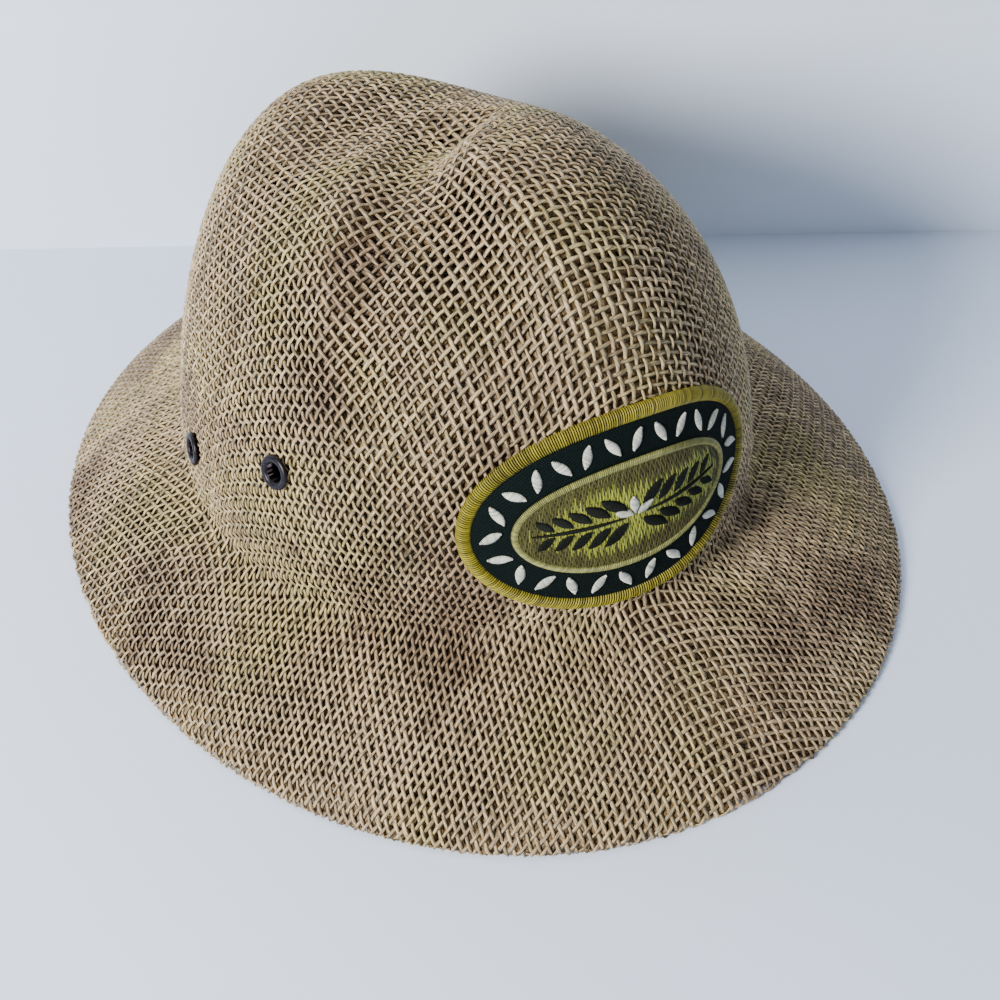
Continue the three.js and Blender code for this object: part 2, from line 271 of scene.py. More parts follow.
class HatColourSettings(bpy.types.PropertyGroup):
    """Colours of the straw, threads and metal."""

    straw: colour_setting("Straw", "Main colour of the straw yarn", (0.375, 0.278, 0.157))
    straw_stain: colour_setting(
        "Stained straw", "Colour of the brownish stained patches", (0.2, 0.135, 0.078)
    )
    straw_green: colour_setting(
        "Greenish straw", "Colour of the yellow-green patches", (0.36, 0.288, 0.13)
    )
    ground: colour_setting(
        "Patch ground", "Dark green of the patch's twill", (0.004, 0.012, 0.011)
    )
    border: colour_setting(
        "Border thread", "Gold olive of the overlocked border", (0.265, 0.222, 0.014)
    )
    pale: colour_setting(
        "Pale thread", "Pale thread of the marks in the green ring", (0.63, 0.64, 0.55)
    )
    ring: colour_setting(
        "Ring thread", "Light gold thread round the patch's field", (0.25, 0.25, 0.07)
    )
    field: colour_setting(
        "Field thread", "Olive thread round the bright middle of the field", (0.085, 0.078, 0.018)
    )
    field_bright: colour_setting(
        "Bright field thread", "Lime thread in the middle of the field", (0.27, 0.29, 0.03)
    )
    motif: colour_setting(
        "Motif thread", "Dark thread of the sprig in the field", (0.006, 0.008, 0.005)
    )
    metal: colour_setting(
        "Eyelet metal", "Dark burnished metal of the eyelets", (0.022, 0.018, 0.022)
    )


class HatStageSettings(bpy.types.PropertyGroup):
    """Camera and wall."""

    azimuth: angle_setting(
        "Camera azimuth",
        "Where the camera stands, counted from the hat's front",
        math.radians(-36.66),
    )
    elevation: angle_setting(
        "Camera elevation", "How high the camera looks down from", math.radians(44.61)
    )
    roll: angle_setting(
        "Camera roll", "How far the camera is turned round its own axis", math.radians(-2.96)
    )
    distance: length_setting(
        "Camera distance", "From the camera to the point that it aims at", 444.7 * MM
    )
    lens: bpy.props.FloatProperty(
        name="Lens",
        description="Focal length in millimetres on a 36 mm sensor",
        default=53.66,
    )
    target: bpy.props.FloatVectorProperty(
        name="Target",
        description="Point that the camera aims at",
        default=(-19.24 * MM, -42.35 * MM, 40 * MM),
        size=3,
        subtype="XYZ",
        unit="LENGTH",
    )
    wall_distance: length_setting(
        "Wall distance", "How far behind the hat's middle the wall stands", 147 * MM
    )
    wall_turn: angle_setting(
        "Wall turn", "Turn of the wall against the camera's direction", math.radians(-3.2)
    )


# Straw cloth

TABLE_TURNS = 240
TABLE_STEP = 1 * MM
TABLE_REACH = 360 * MM
TABLE_PLACES = 500
FOLD_SEARCH = 12
HEM_RADIUS = 0.8 * MM
INNER_SETBACK = 1 * MM
TUCK_START = 13 * MM
TUCK_LENGTH = 4 * MM
TUCK_LIFT = 0.65 * MM


class ShellTable:
    """The shell by azimuth and by length of cloth down from the dome's top."""

    def __init__(self):
        self.azimuth = np.linspace(-np.pi, np.pi, TABLE_TURNS + 1)
        azimuth = self.azimuth[:, None]
        place = np.linspace(0, 2, TABLE_PLACES)[None, :]
        points = shell_points(azimuth, place)
        normals = shell_normals(azimuth, place)
        steps = np.linalg.norm(np.diff(points, axis=1), axis=-1)
        lengths = np.concatenate([np.zeros((TABLE_TURNS + 1, 1)), np.cumsum(steps, axis=1)], 1)
        self.edge = lengths[:, -1]
        self.grid = np.arange(0, TABLE_REACH, TABLE_STEP)
        self.points = np.empty((TABLE_TURNS + 1, len(self.grid), 3))
        self.normals = np.empty_like(self.points)
        for k in range(TABLE_TURNS + 1):
            for axis in range(3):
                self.points[k, :, axis] = np.interp(self.grid, lengths[k], points[k, :, axis])
                self.normals[k, :, axis] = np.interp(self.grid, lengths[k], normals[k, :, axis])
        tangents = unit(points[:, -1] - points[:, -4])
        beyond = np.maximum(0, self.grid[None, :] - self.edge[:, None])
        self.points += beyond[..., None] * tangents[:, None]
        self.normals = unit(self.normals)

    def layer(self, depth, spread, hem):
        """Middle of a layer, its normals and its ends: tucked into the edge or hemmed."""
        normals = self.normals.copy()
        if not hem:
            tuck = smooth_step((self.grid - self.edge[:, None] + TUCK_START) / TUCK_LENGTH)
            inward = (depth - TUCK_LIFT * tuck)[..., None]
            return self.points - inward * normals, normals, self.edge - INNER_SETBACK
        positions = self.points - depth * normals
        folds = np.empty(TABLE_TURNS + 1)
        for k in range(TABLE_TURNS + 1):
            core = self.points[k, :, 2] - (depth + HEM_RADIUS) * self.normals[k, :, 2]
            drop = core - HEM_RADIUS - spread
            first = int(self.edge[k] / TABLE_STEP) - FOLD_SEARCH
            folds[k] = np.interp(0, -drop[first:], self.grid[first:])
            row = folds[k] / TABLE_STEP
            low = int(row)
            share = row - low
            start = self.points[k, low] * (1 - share) + self.points[k, low + 1] * share
            normal = unit(self.normals[k, low] * (1 - share) + self.normals[k, low + 1] * share)
            tangent = unit(self.points[k, low + 1] - self.points[k, low])
            core = start - (depth + HEM_RADIUS) * normal
            past = self.grid > folds[k]
            angle = np.minimum((self.grid[past] - folds[k]) / HEM_RADIUS, np.pi)[:, None]
            out = normal * np.cos(angle) + tangent * np.sin(angle)
            under = np.maximum(0, self.grid[past] - folds[k] - np.pi * HEM_RADIUS)[:, None]
            positions[k, past] = core + HEM_RADIUS * out - under * tangent
            normals[k, past] = out
        return positions, normals, folds + np.pi * HEM_RADIUS + hem


def look_up(grids, plane):
    """Bilinear values of grids by azimuth and length at points of the flattened plane."""
    azimuth = np.arctan2(plane[..., 0], -plane[..., 1])
    turn = (azimuth + np.pi) / (2 * np.pi) * TABLE_TURNS
    row = np.hypot(plane[..., 0], plane[..., 1]) / TABLE_STEP
    a = np.clip(turn.astype(int), 0, TABLE_TURNS - 1)
    b = np.clip(row.astype(int), 0, grids[0].shape[1] - 2)
    s = (turn - a)[..., None]
    t = (row - b)[..., None]
    found = []
    for grid in grids:
        near = grid[a, b] * (1 - t) + grid[a, b + 1] * t
        far = grid[a + 1, b] * (1 - t) + grid[a + 1, b + 1] * t
        found.append(near * (1 - s) + far * s)
    return found


NET_CELL = 9 * MM
NET_REACH = 29
NET_ROUNDS = 700
NET_MARGIN = 30 * MM
SHEAR_STIFFNESS = 0.05
NET_EVENNESS = 0.15
NET_TURN = math.radians(10)
NET_PROBE = 0.5 * MM
NET_PUSH = 1.2
NET_STEP = 1.5 * MM


def turned(angle):
    """Matrix that turns places on the flat cloth."""
    c, s = math.cos(angle), math.sin(angle)
    return np.array([[c, -s], [s, c]])


def blocked_net(table):
    """Where the flat cloth's net lies on the shell once it is blocked: even along the yarns."""
    count = 2 * NET_REACH + 1
    axis = np.arange(-NET_REACH, NET_REACH + 1) * NET_CELL
    cloth = np.stack(np.meshgrid(axis, axis, indexing="ij"), -1)
    cloth = cloth @ turned(NET_TURN)
    azimuth = np.arctan2(cloth[..., 0], -cloth[..., 1])
    edge = np.interp(azimuth, table.azimuth, table.edge)
    used = np.hypot(cloth[..., 0], cloth[..., 1]) < edge + NET_MARGIN
    plane = cloth.copy()
    steps = [((1, 0), 1.0), ((0, 1), 1.0), ((1, 1), SHEAR_STIFFNESS), ((1, -1), SHEAR_STIFFNESS)]
    mask = used[..., None].astype(float)
    neighbours = sum(np.roll(mask, step, axis) for axis in (0, 1) for step in (1, -1))
    neighbours = np.maximum(neighbours, 1)
    for _ in range(NET_ROUNDS):
        points = look_up([table.points], plane)[0]
        east = (look_up([table.points], plane + [NET_PROBE, 0])[0] - points) / NET_PROBE
        north = (look_up([table.points], plane + [0, NET_PROBE])[0] - points) / NET_PROBE
        push = np.zeros((count, count, 3))
        weight = np.full((count, count, 1), 1e-9)
        for (di, dj), stiffness in steps:
            first = (slice(0, count - di), slice(max(0, -dj), count - max(0, dj)))
            second = (slice(di, count), slice(max(0, dj), count - max(0, -dj)))
            link = points[second] - points[first]
            length = np.linalg.norm(link, axis=-1, keepdims=True)
            rest = NET_CELL * math.hypot(di, dj)
            held = (used[first] & used[second])[..., None] * stiffness
            move = link / np.maximum(length, 1e-9) * (length - rest) / 2 * held
            push[first] += move
            push[second] -= move
            weight[first] += held
            weight[second] += held
        push *= NET_PUSH / weight
        a = (east * east).sum(-1)
        b = (east * north).sum(-1)
        c = (north * north).sum(-1)
        p = (push * east).sum(-1)
        q = (push * north).sum(-1)
        det = np.maximum(a * c - b * b, 1e-6)
        change = np.stack([(c * p - b * q) / det, (a * q - b * p) / det], -1)
        plane += np.clip(change, -NET_STEP, NET_STEP) * mask
        shift = (plane - cloth) * mask
        around = sum(np.roll(shift, step, axis) for axis in (0, 1) for step in (1, -1))
        plane += NET_EVENNESS * (around / neighbours - shift) * mask
    return plane


def cubic_weights(t):
    """Weights of four neighbouring net knots at a share t of the cell."""
    return np.stack(
        [
            -0.5 * t + t**2 - 0.5 * t**3,
            1 - 2.5 * t**2 + 1.5 * t**3,
            0.5 * t + 2 * t**2 - 1.5 * t**3,
            -0.5 * t**2 + 0.5 * t**3,
        ],
        -1,
    )


def on_plane(net, cloth):
    """Smooth place in the flattened plane of points of the flat cloth."""
    spot = cloth / NET_CELL + NET_REACH
    cell = np.clip(np.floor(spot).astype(int), 1, 2 * NET_REACH - 2)
    weights = cubic_weights(np.clip(spot - cell, 0, 1))
    found = np.zeros_like(cloth)
    for i in range(4):
        for j in range(4):
            w = weights[..., 0, i] * weights[..., 1, j]
            found += w[..., None] * net[cell[..., 0] + i - 1, cell[..., 1] + j - 1]
    return found


def eyelet_axes():
    """Middles and outward axes of the four vent eyelets."""
    azimuth = np.radians(np.array(EYELET_AZIMUTHS, float))
    height = HEAD_HEIGHT + np.array(EYELET_HEIGHTS) * CROWN_RISE
    place = wall_place(azimuth, height)
    return shell_points(azimuth, place), shell_normals(azimuth, place)


ROW_SHIFT = 0.37


def tube_uvs(centres, joined, sides):
    """Millimetres along the yarn and share of the turn round it, for each quad's corners."""
    rows, count = centres.shape[:2]
    along = np.linalg.norm(np.diff(centres, axis=1), axis=-1)
    along = np.concatenate([np.zeros((rows, 1)), np.cumsum(along, axis=1)], 1)
    shape = (rows, count - 1, sides)
    start = np.broadcast_to(along[:, :-1, None], shape)[joined] / MM
    end = np.broadcast_to(along[:, 1:, None], shape)[joined] / MM
    row_shift = np.arange(rows)[:, None, None] * ROW_SHIFT
    turn = np.broadcast_to(np.arange(sides) / sides, start.shape)
    turn = turn + np.broadcast_to(row_shift, shape)[joined]
    next_turn = turn + 1 / sides
    corners = ((start, turn), (end, turn), (end, next_turn), (start, next_turn))
    return np.stack([np.stack(corner, -1) for corner in corners], 2).reshape(-1, 2)


def tube_mesh(name, centres, ups, half_widths, half_heights, sides, keep, tones):
    """One mesh of flat-sided tubes along rows of centres, capped where a row is cut."""
    rows, count = keep.shape
    tangents = np.gradient(centres, axis=1)
    across = unit(np.cross(tangents, ups))
    ups = unit(np.cross(across, tangents))
    angle = np.arange(sides) / sides * 2 * np.pi
    ring = (
        centres[:, :, None]
        + across[:, :, None] * (half_widths[..., None] * np.cos(angle))[..., None]
        + ups[:, :, None] * (half_heights[..., None] * np.sin(angle))[..., None]
    )
    index = np.arange(rows * count * sides).reshape(rows, count, sides)
    joined = keep[:, :-1] & keep[:, 1:]
    here = index[:, :-1][joined]
    there = index[:, 1:][joined]
    quads = np.stack([here, there, np.roll(there, -1, 1), np.roll(here, -1, 1)], -1)
    quads = quads.reshape(-1, 4)
    left = np.zeros((rows, count), bool)
    right = np.zeros((rows, count), bool)
    left[:, 1:] = joined
    right[:, :-1] = joined
    starts = index[right & ~left]
    ends = index[left & ~right][:, ::-1]
    caps = np.concatenate([starts, ends])
    uv = tube_uvs(centres, joined, sides)
    uv = np.concatenate([uv, np.zeros((len(caps) * sides, 2))])
    corners = np.concatenate([quads.ravel(), caps.ravel()])
    used, renumbered = np.unique(corners, return_inverse=True)
    loops = renumbered.astype(np.int32)
    first = np.arange(len(quads)) * 4
    first = np.concatenate([first, len(quads) * 4 + np.arange(len(caps)) * sides])
    mesh = bpy.data.meshes.new(name)
    mesh.vertices.add(len(used))
    mesh.vertices.foreach_set("co", ring.reshape(-1, 3)[used].astype(np.float32).ravel())
    mesh.loops.add(len(loops))
    mesh.loops.foreach_set("vertex_index", loops)
    mesh.polygons.add(len(first))
    mesh.polygons.foreach_set("loop_start", first.astype(np.int32))
    mesh.update(calc_edges=True)
    mesh.polygons.foreach_set("use_smooth", np.ones(len(first), bool))
    layer = mesh.uv_layers.new(name="yarn")
    layer.data.foreach_set("uv", uv.astype(np.float32).ravel())
    tone = mesh.attributes.new("tone", "FLOAT", "POINT")
    spread = np.broadcast_to(tones[..., None], (rows, count, sides)).reshape(-1)
    tone.data.foreach_set("value", spread[used].astype(np.float32))
    mesh.validate()
    return mesh


def show_piece(mesh, material, slot, *nodes):
    """Puts a finished mesh into the scene as a piece that rides on the hat."""
    piece = bpy.data.objects.new(mesh.name, mesh)
    bpy.context.scene.collection.objects.link(piece)
    mesh.materials.clear()
    mesh.materials.append(material)
    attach(piece, "root")
    if nodes:
        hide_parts(*nodes)
    return piece


NOISE_OCTAVES = 3
NOISE_STRETCH = (0.6, 1.7)


def slow_noise(rng, rows, along, wave):
    """Smooth random curves with one row for each yarn."""
    total = np.zeros(np.broadcast_shapes((rows, 1), along.shape))
    for k in range(NOISE_OCTAVES):
        phase = rng.uniform(0, 2 * np.pi, (rows, 1))
        length = wave * rng.uniform(*NOISE_STRETCH, (rows, 1)) / (k + 1)
        total = total + np.sin(along / length * 2 * np.pi + phase) / (k + 1)
    return total


OUTER_STATIONS = (-0.2, 0.2)
INNER_STATIONS = (0.0,)
YARN_RUNS = 84
YARN_ROLL = 0.14
YARN_SIDES = 4
HEIGHT_GAIN = 1.15
YARN_WANDER = 0.11 * MM
YARN_SCATTER = 0.12 * MM
WANDER_WAVE = 38 * MM
WIDTH_SCATTER = 0.11
WIDTH_SWELL = 0.1
SWELL_WAVE = 15 * MM
WIDTH_LIMITS = (0.62, 1.38)
TONE_SCATTER = 0.17
TONE_DRIFT = 0.09
TONE_WAVE = 19 * MM
ROLL_WAVE = 13 * MM
EYELET_REACH = 12 * MM
EYELET_CUT = 3.4 * MM


def yarn_layer(settings, yarn_width, depth, turn, shift, stations, hem, name, halves):
    """Woven yarns of one cloth layer, as meshes keyed by their direction and half."""
    rng = np.random.default_rng(settings.seed + int(depth / MM * 10))
    table, net = shell_table()
    pitch = settings.pitch
    wave = settings.yarn_thickness / 2
    spread = wave + settings.yarn_thickness / 2
    positions, normals, ends = table.layer(depth, spread, settings.hem_width if hem else 0)
    crossing = np.arange(-YARN_RUNS, YARN_RUNS + 1)
    along = (crossing[:, None] + np.array(stations)).reshape(1, -1) * pitch
    crossing_of = np.repeat(crossing, len(stations))[None, :]
    yarn = crossing[:, None]
    rows = len(yarn)
    centre, axes = eyelet_axes()
    meshes = {}
    for direction in ("warp", "weft"):
        across = yarn * pitch + YARN_WANDER * slow_noise(rng, rows, along, WANDER_WAVE)
        across = across + rng.normal(0, YARN_SCATTER, (rows, 1))
        over = np.where((yarn + crossing_of) % 2 == 0, 1.0, -1.0)
        if direction == "warp":
            cloth = np.stack(np.broadcast_arrays(across, along), -1)
        else:
            cloth = np.stack(np.broadcast_arrays(along, across), -1)
            over = -over
        cloth = cloth @ turned(-turn) + shift
        plane = on_plane(net, cloth)
        middle, normal = look_up([positions, normals], plane)
        normal = unit(normal)
        azimuth = np.arctan2(plane[..., 0], -plane[..., 1])
        end = np.interp(azimuth, table.azimuth, ends)
        keep = np.hypot(plane[..., 0], plane[..., 1]) < end
        for k in range(len(centre)):
            apart = middle - centre[k]
            apart = apart - (apart @ axes[k])[..., None] * axes[k]
            near = np.linalg.norm(middle - centre[k], axis=-1) < EYELET_REACH
            keep &= ~(near & (np.linalg.norm(apart, axis=-1) < EYELET_CUT))
        middle = middle + normal * (over * wave)[..., None]
        width = 1 + WIDTH_SCATTER * rng.normal(0, 1, (rows, 1))
        width = width + WIDTH_SWELL * slow_noise(rng, rows, along, SWELL_WAVE)
        width = yarn_width / 2 * np.clip(width, *WIDTH_LIMITS)
        height = settings.yarn_thickness / 2 * HEIGHT_GAIN * np.ones_like(width)
        tone = 0.5 + TONE_SCATTER * rng.normal(0, 1, (rows, 1))
        tone = tone + TONE_DRIFT * slow_noise(rng, rows, along, TONE_WAVE)
        across_yarn = unit(np.cross(np.gradient(middle, axis=1), normal))
        roll = YARN_ROLL * slow_noise(rng, rows, along, ROLL_WAVE)
        facing = unit(normal + across_yarn * roll[..., None])
        for half in range(halves):
            part = slice(half * rows // halves, (half + 1) * rows // halves)
            key = f"{name}_{direction}_{half + 1}"
            meshes[key] = tube_mesh(
                key, middle[part], facing[part], width[part], height[part],
                YARN_SIDES, keep[part], tone[part],
            )
    return meshes


# Materials

STRAND_TWIST = math.atan(0.11)
STRAND_SIZE = (3.2, 0.16)


def new_material(name):
    """A material, its nodes and links, and its shader."""
    material = bpy.data.materials.new(name)
    material.use_nodes = True
    nodes = material.node_tree.nodes
    return material, nodes, material.node_tree.links, nodes["Principled BSDF"]


def add_node(tree, kind, **values):
    """A new node with its settings; a name that starts with in_ is an input's value."""
    node = tree.nodes.new(kind)
    for key, value in values.items():
        if key.startswith("in_"):
            node.inputs[key[3:].replace("_", " ")].default_value = value
        else:
            setattr(node, key, value)
    return node


def set_inputs(node, **values):
    """Constant values on a node's inputs, named with underscores for spaces."""
    for key, value in values.items():
        node.inputs[key.replace("_", " ")].default_value = value


def map_range(tree, value, low, high, start=0.0, end=1.0, shape="LINEAR"):
    """A value brought from the range start to end into the range low to high."""
    node = add_node(
        tree, "ShaderNodeMapRange", interpolation_type=shape,
        in_From_Min=start, in_From_Max=end, in_To_Min=low, in_To_Max=high,
    )
    tree.links.new(value, node.inputs["Value"])
    return node.outputs["Result"]


def grey_colour(tree, value):
    grey = tree.nodes.new("ShaderNodeCombineColor")
    for channel in ("Red", "Green", "Blue"):
        tree.links.new(value, grey.inputs[channel])
    return grey.outputs["Color"]


def bump_normal(tree, height, strength):
    bump = add_node(tree, "ShaderNodeBump", in_Strength=strength, in_Distance=0.2 * MM)
    tree.links.new(height, bump.inputs["Height"])
    return bump.outputs["Normal"]


def new_group(name, inputs, outputs):
    """An empty shader node group with named inputs and outputs."""
    group = bpy.data.node_groups.new(name, "ShaderNodeTree")
    for label, kind, default in inputs:
        socket = group.interface.new_socket(name=label, in_out="INPUT", socket_type=kind)
        if default is not None:
            socket.default_value = default
    for label, kind in outputs:
        group.interface.new_socket(name=label, in_out="OUTPUT", socket_type=kind)
    entry = group.nodes.new("NodeGroupInput")
    leave = group.nodes.new("NodeGroupOutput")
    return group, entry, leave


def stain_group():
    """Soft stain masks on Object coordinates: brown patches and greenish patches."""
    group = bpy.data.node_groups.get("Straw stains")
    if group:
        return group
    inputs = [("Scale", "NodeSocketFloat", 22.0)]
    outputs = [("Brown", "NodeSocketFloat"), ("Green", "NodeSocketFloat")]
    group, entry, leave = new_group("Straw stains", inputs, outputs)
    place = group.nodes.new("ShaderNodeTexCoord")
    for label, offset, low, high in (("Brown", 0.0, 0.48, 0.7), ("Green", 3.7, 0.46, 0.66)):
        shift = add_node(group, "ShaderNodeVectorMath", operation="ADD")
        shift.inputs[1].default_value = (offset, offset, offset)
        noise = add_node(group, "ShaderNodeTexNoise", in_Detail=3.0, in_Roughness=0.6)
        group.links.new(place.outputs["Object"], shift.inputs[0])
        group.links.new(shift.outputs[0], noise.inputs["Vector"])
        group.links.new(entry.outputs["Scale"], noise.inputs["Scale"])
        mask = map_range(group, noise.outputs["Fac"], 0.0, 1.0, low, high, "SMOOTHSTEP")
        group.links.new(mask, leave.inputs[label])
    return group


def mix_colours(tree, first, second, factor, blend="MIX"):
    """The mix of two colours; each of the three values is a number, colour or socket."""
    mix = add_node(tree, "ShaderNodeMix", data_type="RGBA", blend_type=blend)
    colours = [s for s in mix.inputs if s.type == "RGBA"]
    for target, value in ((mix.inputs["Factor"], factor), *zip(colours, (first, second))):
        if isinstance(value, bpy.types.NodeSocket):
            tree.links.new(value, target)
        else:
            target.default_value = value
    return [s for s in mix.outputs if s.type == "RGBA"][0]


def straw_material(colours, name, tint):
    """Twisted paper straw: yarns of uneven tone with fine strands and soft stains; the tint
    multiplies in painted shade, white for none.
    """
    material, nodes, links, shader = new_material(name)
    tree = material.node_tree
    stains = nodes.new("ShaderNodeGroup")
    stains.node_tree = stain_group()
    tone = add_node(tree, "ShaderNodeAttribute", attribute_name="tone")
    yarn = add_node(tree, "ShaderNodeUVMap", uv_map="yarn")
    twist = add_node(
        tree, "ShaderNodeMapping", vector_type="TEXTURE",
        in_Rotation=(0.0, 0.0, STRAND_TWIST), in_Scale=(*STRAND_SIZE, 1.0),
    )
    strands = add_node(tree, "ShaderNodeTexNoise", in_Scale=1.0, in_Detail=2.0)
    links.new(yarn.outputs["UV"], twist.inputs["Vector"])
    links.new(twist.outputs["Vector"], strands.inputs["Vector"])
    strength = add_node(tree, "ShaderNodeMath", operation="MULTIPLY")
    links.new(map_range(tree, tone.outputs["Fac"], 0.5, 1.5), strength.inputs[0])
    streak = map_range(tree, strands.outputs["Fac"], 0.42, 1.5, 0.38, 0.62)
    links.new(streak, strength.inputs[1])
    body = mix_colours(
        tree, (*colours.straw, 1), (*colours.straw_green, 1), stains.outputs["Green"]
    )
    body = mix_colours(tree, body, (*colours.straw_stain, 1), stains.outputs["Brown"])
    grey = grey_colour(tree, strength.outputs[0])
    body = mix_colours(tree, body, grey, 1.0, "MULTIPLY")
    # Painted shade: the tint darkens the whole straw colour (the inner layer's shade behind the
    # outer one).
    body = mix_colours(tree, body, (*tint, 1), 1.0, "MULTIPLY")
    links.new(body, shader.inputs["Base Color"])
    links.new(bump_normal(tree, strands.outputs["Fac"], 0.8), shader.inputs["Normal"])
    set_inputs(shader, Roughness=0.48, Specular_IOR_Level=0.4)
    return material


def thread_group():
    """Fine ribs of laid threads on Object coordinates, as a height and a tint."""
    group = bpy.data.node_groups.get("Laid threads")
    if group:
        return group
    inputs = [("Spacing", "NodeSocketFloat", 2600.0), ("Turn", "NodeSocketFloat", 0.0)]
    outputs = [("Height", "NodeSocketFloat"), ("Tint", "NodeSocketFloat")]
    group, entry, leave = new_group("Laid threads", inputs, outputs)
    place = group.nodes.new("ShaderNodeTexCoord")
    turned = add_node(group, "ShaderNodeVectorRotate", rotation_type="Y_AXIS")
    split = group.nodes.new("ShaderNodeSeparateXYZ")
    ribs = add_node(group, "ShaderNodeMath", operation="MULTIPLY")
    wave = add_node(group, "ShaderNodeMath", operation="SINE")
    noise = add_node(group, "ShaderNodeTexNoise", in_Scale=900.0, in_Detail=2.0)
    group.links.new(place.outputs["Object"], turned.inputs["Vector"])
    group.links.new(entry.outputs["Turn"], turned.inputs["Angle"])
    group.links.new(turned.outputs["Vector"], split.inputs["Vector"])
    group.links.new(split.outputs["Z"], ribs.inputs[0])
    group.links.new(entry.outputs["Spacing"], ribs.inputs[1])
    group.links.new(ribs.outputs[0], wave.inputs[0])
    group.links.new(place.outputs["Object"], noise.inputs["Vector"])
    group.links.new(wave.outputs[0], leave.inputs["Height"])
    group.links.new(noise.outputs["Fac"], leave.inputs["Tint"])
    return group


def thread_material(name, colour, roughness, gloss, ribs=0.0, turn=0.0, spacing=2600.0):
    """Embroidery thread, with ribs of laid threads where the piece is a plain surface."""
    material, nodes, links, shader = new_material(name)
    tree = material.node_tree
    threads = nodes.new("ShaderNodeGroup")
    threads.node_tree = thread_group()
    set_inputs(threads, Spacing=spacing, Turn=turn)
    dark = tuple(c * 0.6 for c in colour)
    tint = mix_colours(tree, (*dark, 1), (*colour, 1), threads.outputs["Tint"])
    tone = add_node(tree, "ShaderNodeAttribute", attribute_name="tone")
    grey = grey_colour(tree, map_range(tree, tone.outputs["Fac"], 0.55, 1.45))
    tint = mix_colours(tree, tint, grey, 1.0, "MULTIPLY")
    links.new(tint, shader.inputs["Base Color"])
    if ribs:
        links.new(bump_normal(tree, threads.outputs["Height"], ribs), shader.inputs["Normal"])
    set_inputs(shader, Roughness=roughness, Specular_IOR_Level=gloss)
    return material


def metal_material(colours):
    """Dark burnished metal with a faint wear."""
    material, nodes, links, shader = new_material("eyelet_metal")
    tree = material.node_tree
    place = nodes.new("ShaderNodeTexCoord")
    noise = add_node(tree, "ShaderNodeTexNoise", in_Scale=700.0, in_Detail=3.0)
    links.new(place.outputs["Object"], noise.inputs["Vector"])
    links.new(map_range(tree, noise.outputs["Fac"], 0.28, 0.5), shader.inputs["Roughness"])
    set_inputs(shader, Base_Color=(*colours.metal, 1), Metallic=0.9)
    return material


# Patch

PATCH_ARC_SAMPLES = 361
SLAB_RINGS = 14
SLAB_STEPS = 96
BORDER_WIDTH = 3.8 * MM
BORDER_INSET = 0.9 * MM
BORDER_LIFT = 0.55 * MM
GROUND_TOP = 1.45 * MM
FIELD_HALF_WIDTH = 33.2 * MM
FIELD_HALF_HEIGHT = 17 * MM
RING_WIDTH = 2 * MM
THREAD_SIDES = 4
THREAD_STATIONS = 6
ARCH_FOOT = 0.06
ARCH_SPAN = 0.88
FILL_SPACING = 0.42 * MM
STITCH_LENGTH = 4.6 * MM
STITCH_STAGGER = (0, 0.5, 0.25, 0.75)
EDGE_HALF_WIDTH = PATCH_HALF_WIDTH - BORDER_INSET
EDGE_HALF_HEIGHT = PATCH_HALF_HEIGHT - BORDER_INSET
GROUND_INSET = 0.9 * MM
WRAPS = 345
WRAP_STATIONS = 9
WRAP_LEAN = 0.012
WRAP_TUCK = 0.25
WRAP_HEIGHT = 1.75 * MM
WRAP_HALF_WIDTH = 0.22 * MM
LENS_HALF_WIDTH = 28 * MM
LENS_HALF_HEIGHT = 9.5 * MM
STITCH_SEAT = GROUND_TOP + 0.1 * MM
RING_THREADS = 300
RING_LEAN = 0.02
LEAF_SPACING = 0.36 * MM
LEAF_HALF_THREAD = 0.22 * MM
SPRIG_LEAVES = 5
BUD_SEAT = GROUND_TOP + 0.55 * MM
SPRIG_SEAT = BUD_SEAT - 0.05 * MM


class PatchWall:
    """The wall behind the patch, by distance across and up from the patch's middle."""

    def __init__(self):
        half = math.pi / 2
        self.azimuth = np.linspace(PATCH_TURN - half, PATCH_TURN + half, PATCH_ARC_SAMPLES)
        points = shell_points(self.azimuth, wall_place(self.azimuth, PATCH_HEIGHT))
        length = np.concatenate([[0], np.cumsum(np.linalg.norm(np.diff(points, axis=0), axis=1))])
        self.length = length - length[PATCH_ARC_SAMPLES // 2]

    def spot(self, across, up):
        """Azimuth and place on the shell of a spot on the wall."""
        azimuth = np.interp(across, self.length, self.azimuth)
        return azimuth, wall_place(azimuth, PATCH_HEIGHT + up)

    def points(self, across, up, lift):
        across, up, lift = np.broadcast_arrays(across, up, lift)
        azimuth, place = self.spot(across, up)
        return shell_points(azimuth, place) + shell_normals(azimuth, place) * lift[..., None]

    def normals(self, across, up):
        across, up = np.broadcast_arrays(across, up)
        return shell_normals(*self.spot(across, up))


